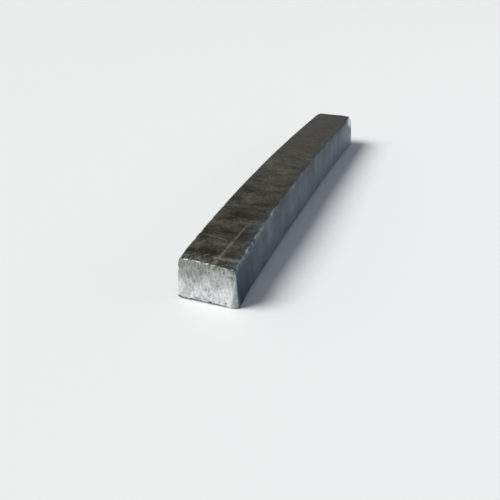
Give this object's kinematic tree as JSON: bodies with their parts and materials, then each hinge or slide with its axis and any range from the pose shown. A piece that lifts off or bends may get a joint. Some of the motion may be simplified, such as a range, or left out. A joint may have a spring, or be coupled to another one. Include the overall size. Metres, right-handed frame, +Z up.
{
  "type": "cadmium ingot",
  "caption": "Long cast metal ingot of trapezoid section, with leaning sides, a slightly bellied dark top and a square sawn end.",
  "frame": {"origin": "under the middle of the bounding box, on the plane of the base", "axes": "+Y along the bar from the sawn end to the cast end, +X to the right as the sawn end is faced, +Z up"},
  "size_m": [0.0526, 0.4098, 0.0411],
  "materials": {
    "cadmium": "satin"
  },
  "bodies": {
    "root": {"ingot": "cadmium"}
  },
  "joints": []
}
